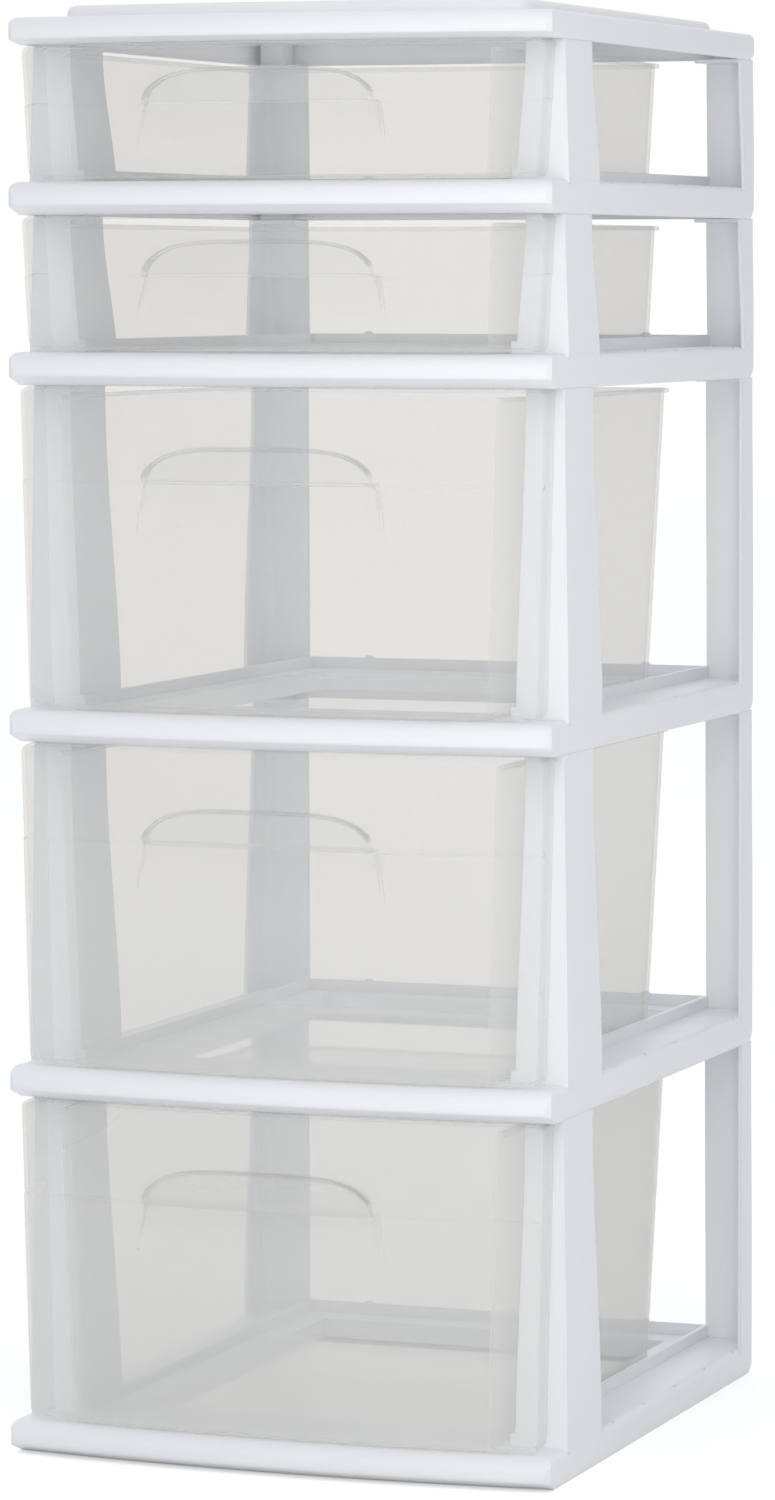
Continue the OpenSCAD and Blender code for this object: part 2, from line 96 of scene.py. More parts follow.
# %% [markdown]
# ## Studio
# White goods on white need light that comes mostly from one side, or their edges vanish. One tall soft lamp
# stands close to the tower, in front and on its right, so that the light falls away towards the left. The
# room gives the rest: it is brightest overhead, a little behind and on the left, and dims towards the floor
# in front.
#
# The backdrop is a matter of its own. Straight from the camera, or in a reflection, it is plain white.
# Behind clear plastic a backdrop looks a shade deeper than white, because each wall throws some of its
# light back. Thin shells in a renderer don't do that, so rays that have passed a clear wall are given the
# deeper shade.

# %% Helpers for node trees
def link(tree, source, target):
    tree.links.new(source, target)


def math_node(tree, operation, first, second):
    """One Math node. Each operand is a number or another node's output."""
    node = tree.nodes.new("ShaderNodeMath")
    node.operation = operation
    for socket, value in zip(node.inputs, (first, second)):
        if isinstance(value, (int, float)):
            socket.default_value = value
        else:
            link(tree, value, socket)
    return node.outputs[0]


def spread(tree, value, low, high, start=0.0, stop=1.0):
    """The value's stretch from start to stop, laid over low to high."""
    node = tree.nodes.new("ShaderNodeMapRange")
    node.inputs["From Min"].default_value = start
    node.inputs["From Max"].default_value = stop
    link(tree, value, node.inputs["Value"])
    for socket, end in (("To Min", low), ("To Max", high)):
        if isinstance(end, (int, float)):
            node.inputs[socket].default_value = end
        else:
            link(tree, end, node.inputs[socket])
    return node.outputs["Result"]


def tint(tree, value, low, high):
    """A colour between low and high. Each is a colour or another node's output."""
    node = tree.nodes.new("ShaderNodeMix")
    node.data_type = "RGBA"
    link(tree, value, node.inputs["Factor"])
    for socket, colour in (("A", low), ("B", high)):
        if isinstance(colour, tuple):
            node.inputs[socket].default_value = colour
        else:
            link(tree, colour, node.inputs[socket])
    return node.outputs["Result"]


# Transparent Depth counts the clear surfaces that a ray has passed, so in bare sight it is below this
FIRST_SURFACE = 0.5


def by_sight(tree, unseen, behind_plastic, plain):
    """One colour for light on its way, one for sight through clear plastic and one for plain sight."""
    path = tree.nodes.new("ShaderNodeLightPath").outputs
    seen = math_node(tree, "MAXIMUM", path["Is Camera Ray"], path["Is Glossy Ray"])
    seen = math_node(tree, "MAXIMUM", seen, path["Is Transmission Ray"])
    bare = math_node(tree, "LESS_THAN", path["Transparent Depth"], FIRST_SURFACE)
    return tint(tree, seen, unseen, tint(tree, bare, behind_plastic, plain))


def less(colour, level):
    """The colour with the same level taken from each channel."""
    return tuple(channel - level for channel in colour[:3]) + (1,)


print("bare sight: transparent depth below", FIRST_SURFACE)

# %% Hang the lamp
MIDDLE = Vector((0, 0, 0.4))
LAMP_AT = Vector((0.48, -1.00, 0.72))
LAMP_SIZE = (0.6, 1.4)
LAMP_WATTS = 4.8
LAMP_COLOUR = (1.0, 0.985, 0.96)

lamp_data = bpy.data.lights.new("key_lamp", "AREA")
lamp_data.shape = "RECTANGLE"
lamp_data.size, lamp_data.size_y = LAMP_SIZE
lamp_data.energy = LAMP_WATTS
lamp_data.color = LAMP_COLOUR
lamp = bpy.data.objects.new("key_lamp", lamp_data)
lamp.location = LAMP_AT
lamp.rotation_euler = (MIDDLE - LAMP_AT).to_track_quat("-Z", "Y").to_euler()
lamp.visible_camera = False
bpy.context.scene.collection.objects.link(lamp)
print("lamp", LAMP_WATTS, "W at", tuple(LAMP_AT))

# %% Light the room
ROOM_BRIGHT_TOWARDS = Vector((-0.45, 0.38, 0.81)).normalized()
ROOM_DIM = (0.02, 0.02, 0.02, 1)
ROOM_BRIGHT = (0.92, 0.94, 0.965, 1)
BEHIND_PLASTIC = (0.88, 0.86, 0.83, 1)
PLAIN_WHITE = (1, 1, 1, 1)

world = bpy.data.worlds.new("room")
bpy.context.scene.world = world
world.use_nodes = True
room = world.node_tree
room.nodes.clear()
direction = room.nodes.new("ShaderNodeTexCoord").outputs["Generated"]
along = room.nodes.new("ShaderNodeVectorMath")
along.operation = "DOT_PRODUCT"
along.inputs[1].default_value = ROOM_BRIGHT_TOWARDS
link(room, direction, along.inputs[0])
share = spread(room, along.outputs["Value"], 0, 1, start=-1.0)
room_light = tint(room, share, ROOM_DIM, ROOM_BRIGHT)
glow = room.nodes.new("ShaderNodeBackground")
link(room, by_sight(room, room_light, BEHIND_PLASTIC, PLAIN_WHITE), glow.inputs["Color"])
room_out = room.nodes.new("ShaderNodeOutputWorld")
link(room, glow.outputs[0], room_out.inputs["Surface"])
bpy.context.scene.view_settings.view_transform = "Standard"
print("room from", ROOM_DIM[:3], "to", ROOM_BRIGHT[:3])

# %% [markdown]
# ## Floor
# The floor is a wide disc of pale card. Where the camera sees it, it gets a little glow of its own, just
# enough to meet the backdrop without a line, and the tower's soft shadow stays on it. Through clear plastic
# the lamp's pool of light on the card would stand out, so there the card is unlit and glows with the
# backdrop's own shade, with a painted shadow close under the tower, which the Ambient Occlusion node finds.
# A shadow catcher would be the other way, but it leaves nothing behind the tower for the clear walls to
# show.

# %% Lay the floor
FLOOR_RADIUS = 14.0
FLOOR_CORNERS = 96

floor_mesh = bpy.data.meshes.new("floor")
bm = bmesh.new()
bmesh.ops.create_circle(bm, cap_ends=True, segments=FLOOR_CORNERS, radius=FLOOR_RADIUS)
bm.to_mesh(floor_mesh)
bm.free()
floor = bpy.data.objects.new("floor", floor_mesh)
bpy.context.scene.collection.objects.link(floor)
print("floor radius", FLOOR_RADIUS, "m")

# %% Make the card
CARD_COLOUR = (0.93, 0.93, 0.93, 1)
CARD_LIT = 0.67
# Painted shadow colour of the card close under the tower, where it is seen through plastic
PAINTED_SHADOW_UNDER_TOWER = (0.60, 0.59, 0.57, 1)
SHADE_REACH = 0.30
UNLIT = (0, 0, 0, 1)

card = bpy.data.materials.new("pale_card")
card.use_nodes = True
tree = card.node_tree
tree.nodes.clear()
painted_shadow_mask = tree.nodes.new("ShaderNodeAmbientOcclusion")
painted_shadow_mask.inputs["Distance"].default_value = SHADE_REACH
# Behind clear plastic the card glows unlit, and a painted shadow darkens it where the Ambient Occlusion
# node finds the tower close
glow_with_painted_shadow = tint(tree, painted_shadow_mask.outputs["AO"], PAINTED_SHADOW_UNDER_TOWER, BEHIND_PLASTIC)
matt = tree.nodes.new("ShaderNodeBsdfDiffuse")
link(tree, by_sight(tree, CARD_COLOUR, UNLIT, CARD_COLOUR), matt.inputs["Color"])
own_glow = tree.nodes.new("ShaderNodeEmission")
own_colour = by_sight(tree, UNLIT, glow_with_painted_shadow, less(PLAIN_WHITE, CARD_LIT))
link(tree, own_colour, own_glow.inputs["Color"])
both = tree.nodes.new("ShaderNodeAddShader")
link(tree, matt.outputs[0], both.inputs[0])
link(tree, own_glow.outputs[0], both.inputs[1])
card_out = tree.nodes.new("ShaderNodeOutputMaterial")
link(tree, both.outputs[0], card_out.inputs["Surface"])
floor_mesh.materials.append(card)
print("the card's own glow:", less(PLAIN_WHITE, CARD_LIT)[:3])

# %% [markdown]
# ## White moulding
# The frames and the lid are injection-moulded in white plastic with a satin skin. Two things give such a
# skin away: a grain too fine to see as dots, and edges that are never quite sharp. A fine noise bump gives
# the first and a Bevel node, which bends the normals near each edge, gives the second without touching the
# solids.

# %% Make the white finish
def noise(tree, scale, detail, coordinates):
    node = tree.nodes.new("ShaderNodeTexNoise")
    node.inputs["Scale"].default_value = scale
    node.inputs["Detail"].default_value = detail
    link(tree, coordinates, node.inputs["Vector"])
    return node


def bump(tree, height, distance, strength, normal=None):
    node = tree.nodes.new("ShaderNodeBump")
    node.inputs["Distance"].default_value = distance
    node.inputs["Strength"].default_value = strength
    link(tree, height, node.inputs["Height"])
    if normal is not None:
        link(tree, normal, node.inputs["Normal"])
    return node.outputs["Normal"]


def start_finish(name):
    material = bpy.data.materials.new(name)
    material.use_nodes = True
    tree = material.node_tree
    tree.nodes.clear()
    place = tree.nodes.new("ShaderNodeTexCoord").outputs["Object"]
    skin = tree.nodes.new("ShaderNodeBsdfPrincipled")
    out = tree.nodes.new("ShaderNodeOutputMaterial")
    link(tree, skin.outputs[0], out.inputs["Surface"])
    return material, tree, place, skin


EDGE_ROUNDING = 0.9 * MM
EDGE_SAMPLES = 6
FLOW_DETAIL = 3
GRAIN_DETAIL = 2
GRAIN_HEIGHT = 0.02 * MM
PLASTIC_IOR = 1.49
WHITE_FLOW_PER_METRE = 9
WHITE_GRAIN_PER_METRE = 1400
WHITE_GRAIN_STRENGTH = 0.25
WHITE_LOW = (0.895, 0.905, 0.93, 1)
WHITE_HIGH = (0.925, 0.935, 0.955, 1)
WHITE_ROUGHNESS = (0.30, 0.44)
WHITE_SPECULAR = 0.4


def white_moulding():
    material, tree, place, skin = start_finish("white_moulding")
    flow = noise(tree, WHITE_FLOW_PER_METRE, FLOW_DETAIL, place)
    grain = noise(tree, WHITE_GRAIN_PER_METRE, GRAIN_DETAIL, place)
    link(tree, tint(tree, flow.outputs["Fac"], WHITE_LOW, WHITE_HIGH), skin.inputs["Base Color"])
    link(tree, spread(tree, flow.outputs["Fac"], *WHITE_ROUGHNESS), skin.inputs["Roughness"])
    soft = tree.nodes.new("ShaderNodeBevel")
    soft.samples = EDGE_SAMPLES
    soft.inputs["Radius"].default_value = EDGE_ROUNDING
    pitted = bump(tree, grain.outputs["Fac"], GRAIN_HEIGHT, WHITE_GRAIN_STRENGTH, soft.outputs["Normal"])
    link(tree, pitted, skin.inputs["Normal"])
    skin.inputs["IOR"].default_value = PLASTIC_IOR
    skin.inputs["Specular IOR Level"].default_value = WHITE_SPECULAR
    return material


WHITE = white_moulding()
print("finish:", WHITE.name)

# %% Put the white finish on the frames and the lid
for node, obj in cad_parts.items():
    if "drawer" in node:
        continue
    obj.data.materials.clear()
    obj.data.materials.append(WHITE)
print("white solids:", [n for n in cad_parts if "drawer" not in n])

# %% [markdown]
# ## Drawer front
# Each drawer is one clear moulding: a bowed front with a hooded pull, and a tub behind it. The front is a
# sheet of rows and columns. Every column crosses the same features from the bottom up, the scoop for the
# fingers, the underside of the hood, the hood itself and the plain skin above, so one grid can hold them
# all. Where a feature is missing from a column its rows fall together and are merged. The columns crowd
# towards the ends of the hood, where its outline turns down. Booleans could cut the same features from a
# plate, but they leave ragged facets where the hood melts into the skin, and on clear plastic those show.

# %% Sizes of the drawers, in millimetres
NOSE_Y = solid_box[0][1] / MM
BOW_RADIUS = 1125.5
POST_Y = NOSE_Y + 42
FACE_SET = 10
FACE_LEAN = 1.2
FACE_ABOVE_FLOOR = 0.7
FACE_FOOT = 149.2
FACE_HEAD = 153.8
FACE_DRAFT = math.tan(math.radians(6.5))
FACE_CORNER = 5
SKIN = 2.0
STEP = 1.0
PULL_X = -9
PULL_HALF = 67.5
PULL_HEIGHT = 20
PULL_SQUARENESS = 4
PULL_OUT = 5.5
SCOOP_DEEP = 8.0
SCOOP_FLARE = 7.0
RIM_DEEP = 8
WING_FROM = 139
GAP_TO_POST = 0.4
TUB_FOOT = 121.5
TUB_REAR = 103
TUB_CORNER = 9
TUB_BELOW_FACE = 4.3
SIDE_DRAFT = 0.0367
REAR_DRAFT = 0.065
# For a low and a tall drawer: the step below the top edge, and the reach of the scoop below the step
LINES = {"small": (33.3, 28), "large": (52.3, 36)}


def bow(x):
    """How far the bowed front falls back at this distance from its middle."""
    return BOW_RADIUS - math.sqrt(BOW_RADIUS ** 2 - x * x)


def steps(low, high, count):
    """Even steps from low to high, both ends included."""
    return [low + (high - low) * k / count for k in range(count + 1)]


print("front lip at y", NOSE_Y, "mm, posts at", POST_Y)

# %% Work out the front's grid
HOOD_TURNS = [-90, -80, -80, -72] + list(range(-60, 61, 10)) + [72, 80, 80, 90]
SCOOP_LEFT = 2
SCOOP_RIGHT = len(HOOD_TURNS) - 3
OUTER_COLUMNS = 7
SCOOP_ROWS = 12
# Shares of painted shade: a dark line painted along the hood's outline, a lighter shade on the rest of the
# hood
HOOD_PAINTED_SHADE = 0.3
OUTLINE_PAINTED_SHADE = 1.0


def face_columns():
    """(x from the pull's middle, place between the pull's end and the front's edge, True in the scoop)."""
    hood = []
    for i, turn in enumerate(HOOD_TURNS):
        hood.append((PULL_HALF * math.sin(math.radians(turn)), 0.0, SCOOP_LEFT <= i <= SCOOP_RIGHT))
    left = [(-PULL_HALF, 1 - k / OUTER_COLUMNS, False) for k in range(OUTER_COLUMNS)]
    right = [(PULL_HALF, k / OUTER_COLUMNS, False) for k in range(1, OUTER_COLUMNS + 1)]
    return left + hood + right


def hood_height(x):
    """Height of the arch above its straight lower edge."""
    t = min(abs(x) / PULL_HALF, 1)
    return PULL_HEIGHT * math.sqrt(max(0, 1 - t ** PULL_SQUARENESS))


def face_rows():
    """The front's rows from the bottom up: (kind, how far along that kind)."""
    rows = [("bottom", t) for t in (0, 0.25, 0.55, 1)]
    rows += [("below", t) for t in (0.4, 0.8)]
    rows += [("scoop", t) for t in steps(1, 0, SCOOP_ROWS)]
    rows += [("brow", 0), ("hood", 0.0)]
    rows += [("hood", t) for t in (0.12, 0.26, 0.4, 0.55, 0.7, 0.82, 0.90, 0.96, 1.0)]
    rows += [("over", t) for t in (0, 0.03, 0.12, 0.3, 0.6, 0.9)]
    rows += [("top", t) for t in (0, 0.45, 0.75, 1)]
    return rows


def painted_shade_share(column, row):
    """How much shade is painted on the skin: most along the hood's outline, less on the hood, 0 on plain
    skin.
    """
    in_scoop = column[2]
    kind, t = row
    if not in_scoop:
        return 0.0
    if kind == "hood":
        return OUTLINE_PAINTED_SHADE if t == 1.0 else HOOD_PAINTED_SHADE
    if kind == "over" and t == 0:
        return OUTLINE_PAINTED_SHADE
    return 0.0


def face_point(column, row, height, line, reach):
    """Where a column crosses a row, in the front's own frame, in millimetres."""
    base, outward, in_scoop = column
    kind, t = row
    side = 1 if base > 0 else -1
    flare = 0.0
    on_pull = abs(base) < PULL_HALF
    arch = hood_height(base) if on_pull else 0
    proud = 0.0
    pulled_back = 0.0
    if kind == "bottom":
        z = FACE_CORNER * (1 - math.cos(math.radians(90 * t)))
        flare = 1
    elif kind == "below":
        z = FACE_CORNER + (line - reach - FACE_CORNER) * t
        flare = 1
    elif kind == "scoop":
        z = line - reach * t
        flare = t
        if in_scoop:
            pulled_back = SCOOP_DEEP * (0.5 + 0.5 * math.cos(math.pi * t))
    elif kind == "brow":
        z = line
        if in_scoop:
            pulled_back = SCOOP_DEEP
    elif kind == "hood":
        z = line + arch * t
        rise = arch * t / PULL_HEIGHT
        if on_pull and arch > 0:
            proud = (PULL_OUT + STEP) * math.sqrt(max(0, 1 - rise * rise))
    elif kind == "over":
        z = line + arch + (height - FACE_CORNER - line - arch) * t
    else:
        z = height - FACE_CORNER * math.cos(math.radians(90 * t))
    edge = FACE_FOOT + (FACE_HEAD - FACE_FOOT) * z / height
    near_end = min(z, height - z)
    if near_end < FACE_CORNER:
        edge -= FACE_CORNER - math.sqrt(max(0, FACE_CORNER ** 2 - (FACE_CORNER - near_end) ** 2))
    spread_out = 1 + SCOOP_FLARE * flare / PULL_HALF
    x = PULL_X + base * spread_out
    x += (side * edge - x) * outward
    x *= 1 - FACE_DRAFT * bow(x) / edge
    y = bow(x)
    upper = kind in ("hood", "over", "top")
    y += STEP if upper else 0
    y = max(y, pulled_back) if pulled_back else y
    y -= proud
    return Vector((x, y, z))


columns = face_columns()
print("the front has", len(columns), "columns and", len(face_rows()), "rows")

# %% [markdown]
# ## Shells from grids
# A sheet of quads has no thickness, so Solidify grows the wall inwards, the way a mould does, and the
# outside keeps its size. The finished wall is copied out as a plain mesh, because the other parts of the
# drawer are joined to it.

# %% Helpers that turn points into walls
MERGE = 0.01 * MM
PAINTED_SHADE_ATTRIBUTE = "painted_fold_shade"


def sheet_mesh(name, quads, painted_shade_by_corner):
    """A mesh of these quads, each a list of corners in metres, with shared corners merged.

    The last argument gives each corner's share of painted shade by the corner's place. A corner that isn't
    in it is plain skin.
    """
    bm = bmesh.new()
    painted_fold_shade = bm.verts.layers.float.new(PAINTED_SHADE_ATTRIBUTE)
    for quad in quads:
        corners = [bm.verts.new(corner) for corner in quad]
        for vert, corner in zip(corners, quad):
            vert[painted_fold_shade] = painted_shade_by_corner.get(tuple(corner), 0.0)
        bm.faces.new(corners)
    bmesh.ops.remove_doubles(bm, verts=bm.verts, dist=MERGE)
    bmesh.ops.dissolve_degenerate(bm, edges=bm.edges, dist=MERGE)
    mesh = bpy.data.meshes.new(name)
    bm.to_mesh(mesh)
    bm.free()
    return mesh


def plain_copy(obj, name):
    """The object as its modifiers leave it, as a plain mesh. The object itself is removed."""
    evaluated = obj.evaluated_get(bpy.context.evaluated_depsgraph_get())
    mesh = bpy.data.meshes.new_from_object(evaluated)
    mesh.name = name
    bpy.data.objects.remove(obj)
    return mesh


def walled(mesh, thickness):
    """The sheet with a wall grown behind it."""
    obj = bpy.data.objects.new(mesh.name, mesh)
    bpy.context.scene.collection.objects.link(obj)
    wall = obj.modifiers.new("wall", "SOLIDIFY")
    wall.thickness = thickness
    wall.offset = -1
    wall.use_quality_normals = True
    return plain_copy(obj, mesh.name + "_wall")


def joined(name, meshes):
    """One mesh that holds all of these."""
    bm = bmesh.new()
    for mesh in meshes:
        bm.from_mesh(mesh)
    whole = bpy.data.meshes.new(name)
    bm.to_mesh(whole)
    bm.free()
    return whole


def quads_between(first, second):
    """Quads between two rows of points. They face along the cross product of the step from the first
    row to the second with the direction of the rows."""
    return [[first[i], second[i], second[i + 1], first[i + 1]] for i in range(len(first) - 1)]


print("corners within", MERGE, "m of each other are merged")

# %% Build the front
def on_tower(point, floor_z):
    """From the front's own leaning frame, in millimetres, to the tower's frame, in metres."""
    lean = math.radians(FACE_LEAN)
    y = point.y * math.cos(lean) - point.z * math.sin(lean)
    z = point.y * math.sin(lean) + point.z * math.cos(lean)
    return Vector((point.x, NOSE_Y + FACE_SET + y, floor_z + FACE_ABOVE_FLOOR + z)) * MM


def outline_share(row, at_side):
    """How far the front's outline faces sideways: 0 along its top and bottom, 1 along its sides."""
    kind, t = row
    if not at_side:
        return 0.0
    if kind == "bottom":
        return math.sin(math.radians(90 * t))
    if kind == "top":
        return math.cos(math.radians(90 * t))
    return 1.0


def behind(p, share, y):
    """The outline's point p taken back to y, and inwards by the draft where the outline faces sideways."""
    side = 1 if p.x > 0 else -1
    return Vector((p.x - side * share * FACE_DRAFT * (y - p.y), y, p.z))


def post_side(p):
    """The y at which a wing from p ends, just before the post."""
    return POST_Y - GAP_TO_POST - NOSE_Y - FACE_SET + p.z * math.sin(math.radians(FACE_LEAN))


def drawer_front(name, floor_z, height, step_below, reach):
    line = height - step_below
    rows = face_rows()
    grid = [[face_point(column, row, height, line, reach) for column in columns] for row in rows]

    def place(p):
        return on_tower(p, floor_z)

    # Each corner's share of painted shade, kept in an attribute of the mesh
    painted_shade_by_corner = {}
    for row, points in zip(rows, grid):
        for column, p in zip(columns, points):
            painted_shade_by_corner[tuple(place(p))] = painted_shade_share(column, row)
    quads = []
    for low, high in zip(grid, grid[1:]):
        for i in range(len(low) - 1):
            quads.append([place(p) for p in (low[i], low[i + 1], high[i + 1], high[i])])
    last = len(columns) - 1
    edge = [(grid[0][c], outline_share(rows[0], False)) for c in range(last)]
    edge += [(grid[r][last], outline_share(rows[r], True)) for r in range(len(rows) - 1)]
    edge += [(grid[-1][c], outline_share(rows[-1], False)) for c in range(last, 0, -1)]
    edge += [(grid[r][0], outline_share(rows[r], True)) for r in range(len(rows) - 1, -1, -1)]
    front = [place(p) for p, share in edge]
    rim = [place(behind(p, share, p.y + RIM_DEEP)) for p, share in edge]
    wing = [place(behind(p, share, post_side(p))) for p, share in edge]
    quads += quads_between(front, rim)
    for i in range(len(edge) - 1):
        if min(abs(edge[i][0].x), abs(edge[i + 1][0].x)) > WING_FROM:
            quads.append([rim[i], wing[i], wing[i + 1], rim[i + 1]])
    return walled(sheet_mesh(name, quads, painted_shade_by_corner), SKIN * MM)


print("wings end at y", POST_Y - GAP_TO_POST, "mm")

# %% [markdown]
# ## Tub
# The tub narrows towards its floor so that it leaves the mould. Its floor is a ladder: each rung joins a
# point on the left side to its twin on the right, and the last rung is the straight of the back wall. The
# walls rise from the floor's edge through a small fillet. A box with bevelled edges would be quicker, but
# the sides and the back lean by different amounts, so here the edge is worked out at each height.

# %% Build the tub
TUB_FILLET = 3.0
SIDE_STATIONS = 14
CORNER_STATIONS = 7
FILLET_STATIONS = 4
WALL_STATIONS = 5
RUNG_PIECES = 16


def tub_side(rise, inset):
    """Points along the left side of the tub, front to back, then round its rear corner."""
    half = TUB_FOOT + SIDE_DRAFT * rise
    rear = TUB_REAR + REAR_DRAFT * rise
    lean = math.sin(math.radians(FACE_LEAN)) * max(rise - FACE_ABOVE_FLOOR, 0)
    front = NOSE_Y + FACE_SET + bow(half) - lean + SKIN / 2
    points = [(-(half - inset), y) for y in steps(front, rear - TUB_CORNER, SIDE_STATIONS)]
    radius = TUB_CORNER - inset
    for turn in steps(0, 90, CORNER_STATIONS)[1:]:
        a = math.radians(turn)
        x = -(half - TUB_CORNER) - radius * math.cos(a)
        y = rear - TUB_CORNER + radius * math.sin(a)
        points.append((x, y))
    return points


def tub_edge(rise, inset, z):
    """The whole edge at one height, from the front left round the back to the front right."""
    left = tub_side(rise, inset)
    across = [(x, left[-1][1]) for x in steps(left[-1][0], -left[-1][0], RUNG_PIECES)][1:-1]
    right = [(-x, y) for x, y in reversed(left)]
    return [Vector((x, y, z)) * MM for x, y in left + across + right]


def drawer_tub(name, floor_z, height):
    left = tub_side(0, TUB_FILLET)
    rungs = []
    for i, (x, y) in enumerate(left):
        rung = []
        for cx in steps(x, -x, RUNG_PIECES):
            cy = y - (bow(x) - bow(cx)) if i == 0 else y
            rung.append(Vector((cx, cy, floor_z)) * MM)
        rungs.append(rung)
    quads = []
    for near, far in zip(rungs, rungs[1:]):
        quads += quads_between(near, far)
    levels = []
    for turn in steps(0, 90, FILLET_STATIONS):
        a = math.radians(turn)
        rise = TUB_FILLET * (1 - math.cos(a))
        levels.append(tub_edge(0, TUB_FILLET * (1 - math.sin(a)), floor_z + rise))
    for rise in steps(TUB_FILLET, height, WALL_STATIONS)[1:]:
        levels.append(tub_edge(rise, 0, floor_z + rise))
    for low, high in zip(levels, levels[1:]):
        quads += quads_between(low, high)
    return walled(sheet_mesh(name, quads, {}), SKIN * MM)


print("points along one side of a tub:", len(tub_side(0, TUB_FILLET)))

# %% [markdown]
# ## Bead round the tub's mouth
# A bead stiffens the top edge of each tub. It follows a path, so Geometry Nodes sweep it: a rounded
# rectangle runs along the mouth's outline, and its sizes are the tree's inputs.

# %% Build the bead's node tree
BEAD_OUT = 2.5
BEAD_OVERLAP = 1.0
BEAD_ROUNDING = 0.7
BEAD_CORNER_POINTS = 3


def add_input(tree, name, kind, value=None):
    item = tree.interface.new_socket(name=name, in_out="INPUT", socket_type=kind)
    if value is not None:
        item.default_value = value
    return item.identifier


def bead_tree():
    tree = bpy.data.node_groups.new("bead_along_path", "GeometryNodeTree")
    sockets = {"Path": add_input(tree, "Path", "NodeSocketGeometry"),
               "Width": add_input(tree, "Width", "NodeSocketFloat", (BEAD_OUT + BEAD_OVERLAP) * MM),
               "Height": add_input(tree, "Height", "NodeSocketFloat", BEAD_OUT * MM),
               "Rounding": add_input(tree, "Rounding", "NodeSocketFloat", BEAD_ROUNDING * MM),
               "Finish": add_input(tree, "Finish", "NodeSocketMaterial")}
    tree.interface.new_socket(name="Bead", in_out="OUTPUT", socket_type="NodeSocketGeometry")
    given = tree.nodes.new("NodeGroupInput")
    shape = tree.nodes.new("GeometryNodeCurvePrimitiveQuadrilateral")
    link(tree, given.outputs["Width"], shape.inputs["Width"])
    link(tree, given.outputs["Height"], shape.inputs["Height"])
    rounded = tree.nodes.new("GeometryNodeFilletCurve")
    rounded.mode = "POLY"
    rounded.inputs["Count"].default_value = BEAD_CORNER_POINTS
    link(tree, shape.outputs[0], rounded.inputs["Curve"])
    link(tree, given.outputs["Rounding"], rounded.inputs["Radius"])
    sweep = tree.nodes.new("GeometryNodeCurveToMesh")
    sweep.inputs["Fill Caps"].default_value = True
    link(tree, given.outputs["Path"], sweep.inputs["Curve"])
    link(tree, rounded.outputs[0], sweep.inputs["Profile Curve"])
    real = tree.nodes.new("GeometryNodeRealizeInstances")
    link(tree, sweep.outputs[0], real.inputs["Geometry"])
    finish = tree.nodes.new("GeometryNodeSetMaterial")
    link(tree, real.outputs[0], finish.inputs["Geometry"])
    link(tree, given.outputs["Finish"], finish.inputs["Material"])
    made = tree.nodes.new("NodeGroupOutput")
    link(tree, finish.outputs[0], made.inputs[0])
    return tree, sockets


BEAD, BEAD_SOCKETS = bead_tree()
print("tree inputs:", list(BEAD_SOCKETS))

# %% Sweep the bead
def drawer_bead(name, floor_z, height, finish):
    rise = height - BEAD_OUT / 2
    half_over = (BEAD_OUT - BEAD_OVERLAP) / 2
    path = tub_edge(rise, -half_over, floor_z + rise)
    curve = bpy.data.curves.new(name, "CURVE")
    curve.dimensions = "3D"
    curve.twist_mode = "Z_UP"
    spline = curve.splines.new("POLY")
    spline.points.add(len(path) - 1)
    for point, at in zip(spline.points, path):
        point.co = (*at, 1)
    obj = bpy.data.objects.new(name, curve)
    bpy.context.scene.collection.objects.link(obj)
    sweep = obj.modifiers.new("bead", "NODES")
    sweep.node_group = BEAD
    sweep[BEAD_SOCKETS["Finish"]] = finish
    return plain_copy(obj, name + "_mesh")


print("bead", BEAD_OUT, "mm proud of the wall")

# %% [markdown]
# ## Clear moulding
# Natural polypropylene is clear but milky: what stands behind a wall shows sharply, only paler. Real
# scattering inside a thin wall would be slow to render, so each surface lets most of the light straight
# through and scatters the rest, and the share that it scatters is its milk. There is more milk in the lower
# drawers, where a wall is seen edge on. Along the hood's outline, where the real plastic bends light away,
# a darker milk and more of it paint that dark line in as shade, and the rest of the hood gets a lighter
# painted shade. Light on its way in comes from every side and meets the walls at all angles, so it has a
# milk of its own.

# %% Make the clear finish
MILK_BELOW = 0.28
MILK_ABOVE = 0.13
MILK_BELOW_Z = 0.10
MILK_ABOVE_Z = 0.40
MILK_EDGE_ON = 0.55
MILK_ON_PAINTED_SHADE = 0.45
MILK_IN_LIGHT = 0.11
EDGE_ON_BLEND = 0.08
CLEAR_FLOW_PER_METRE = 14
CLEAR_GRAIN_PER_METRE = 600
CLEAR_GRAIN_STRENGTH = 0.06
CLEAR_LOW = (0.80, 0.795, 0.78, 1)
CLEAR_HIGH = (0.85, 0.845, 0.83, 1)
# Painted shade for the dark line that the curved hood throws by bending the light
CLEAR_PAINTED_SHADE = (0.50, 0.50, 0.50, 1)
CLEAR_ROUGHNESS = (0.30, 0.42)
CLEAR_SPECULAR = 0.5


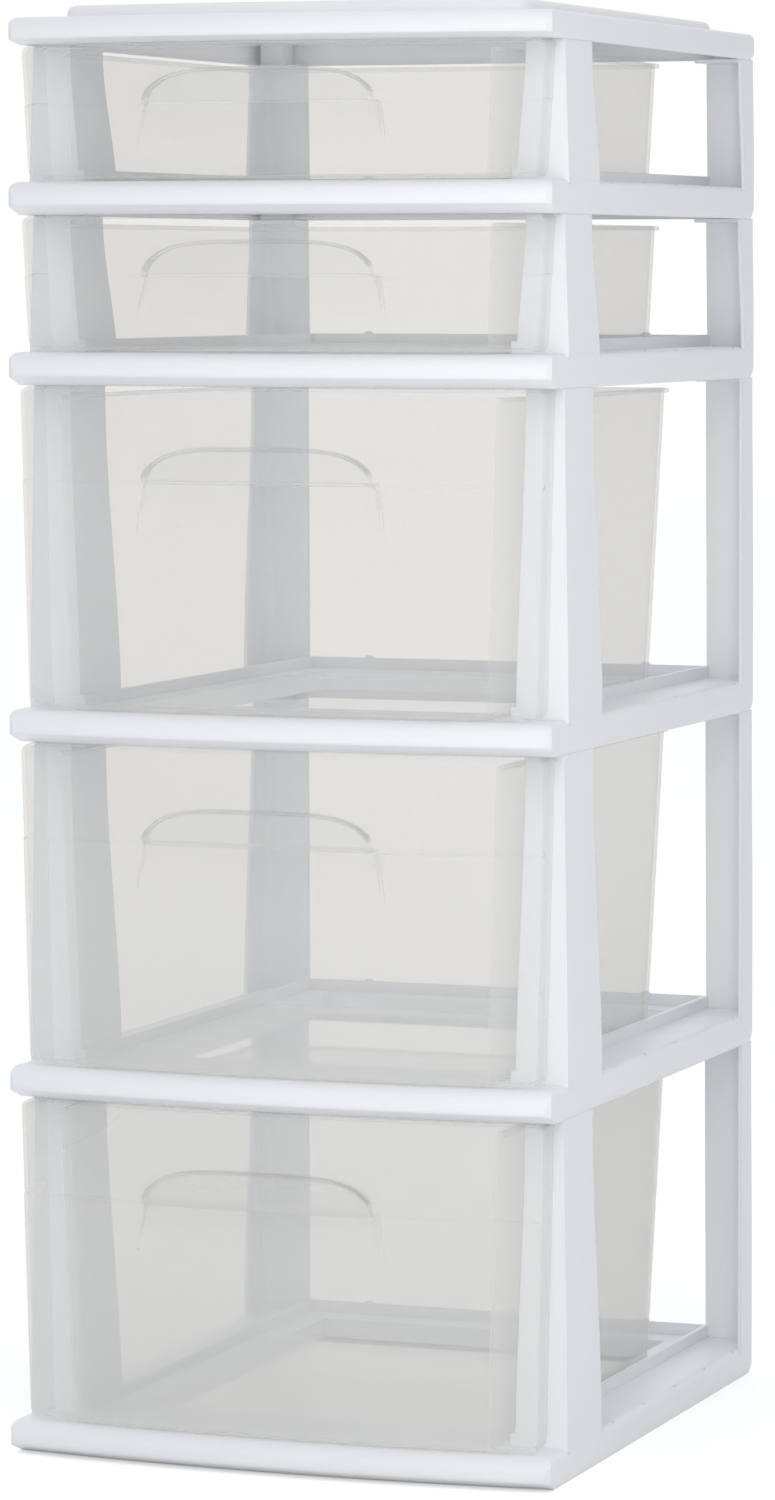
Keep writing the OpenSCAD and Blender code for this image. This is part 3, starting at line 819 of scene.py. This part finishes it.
def clear_moulding():
    material, tree, place, skin = start_finish("clear_moulding")
    flow = noise(tree, CLEAR_FLOW_PER_METRE, FLOW_DETAIL, place)
    grain = noise(tree, CLEAR_GRAIN_PER_METRE, GRAIN_DETAIL, place)
    painted_fold_shade = tree.nodes.new("ShaderNodeAttribute")
    painted_fold_shade.attribute_name = PAINTED_SHADE_ATTRIBUTE
    plain = tint(tree, flow.outputs["Fac"], CLEAR_LOW, CLEAR_HIGH)
    # The milk is painted darker along the hood, as shade for the light that its curved outline bends away
    link(tree, tint(tree, painted_fold_shade.outputs["Fac"], plain, CLEAR_PAINTED_SHADE), skin.inputs["Base Color"])
    link(tree, spread(tree, flow.outputs["Fac"], *CLEAR_ROUGHNESS), skin.inputs["Roughness"])
    link(tree, bump(tree, grain.outputs["Fac"], GRAIN_HEIGHT, CLEAR_GRAIN_STRENGTH), skin.inputs["Normal"])
    skin.inputs["IOR"].default_value = PLASTIC_IOR
    skin.inputs["Specular IOR Level"].default_value = CLEAR_SPECULAR
    edge_on = tree.nodes.new("ShaderNodeLayerWeight")
    edge_on.inputs["Blend"].default_value = EDGE_ON_BLEND
    apart = tree.nodes.new("ShaderNodeSeparateXYZ")
    link(tree, place, apart.inputs[0])
    face_on = spread(tree, apart.outputs["Z"], MILK_BELOW, MILK_ABOVE, MILK_BELOW_Z, MILK_ABOVE_Z)
    milk = spread(tree, edge_on.outputs["Facing"], face_on, MILK_EDGE_ON)
    # More milk along the hood's outline deepens the same painted shade line
    milk = spread(tree, painted_fold_shade.outputs["Fac"], milk, MILK_ON_PAINTED_SHADE)
    path = tree.nodes.new("ShaderNodeLightPath").outputs
    light = math_node(tree, "MAXIMUM", path["Is Shadow Ray"], path["Is Diffuse Ray"])
    link(tree, spread(tree, light, milk, MILK_IN_LIGHT), skin.inputs["Alpha"])
    return material


CLEAR = clear_moulding()
print("finish:", CLEAR.name)

# %% [markdown]
# ## Drawers
# Front, tub and bead are one moulding on the real drawer, so they become one object that rides on its
# drawer's body. The shading is smooth up to a crease angle: soft bends stay soft, and the step across the
# front and the rims of the walls stay crisp.

# %% Put the drawers together
CREASE = math.radians(32)
SURFACES_IN_A_ROW = 32


def drawer(node):
    low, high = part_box(node)
    floor_z = low.z / MM
    height = high.z / MM - floor_z
    step_below, reach = LINES[node.split("_")[0]]
    front = drawer_front(node + "_front", floor_z, height - FACE_ABOVE_FLOOR, step_below, reach)
    tub_height = height - TUB_BELOW_FACE
    tub = drawer_tub(node + "_tub", floor_z, tub_height)
    bead = drawer_bead(node + "_bead", floor_z, tub_height, CLEAR)
    mesh = joined(node + "_shell", [front, tub, bead])
    mesh.materials.clear()
    mesh.materials.append(CLEAR)
    for face in mesh.polygons:
        face.material_index = 0
        face.use_smooth = True
    mesh.set_sharp_from_angle(angle=CREASE)
    shell = bpy.data.objects.new(node + "_shell", mesh)
    bpy.context.scene.collection.objects.link(shell)
    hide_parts(node)
    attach(shell, node)
    return shell


for node in sorted(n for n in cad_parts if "drawer" in n):
    shell = drawer(node)
    print(shell.name, len(shell.data.polygons), "faces")

# A line of sight may cross several drawers, and each wall has two surfaces
bpy.context.scene.cycles.transparent_max_bounces = SURFACES_IN_A_ROW
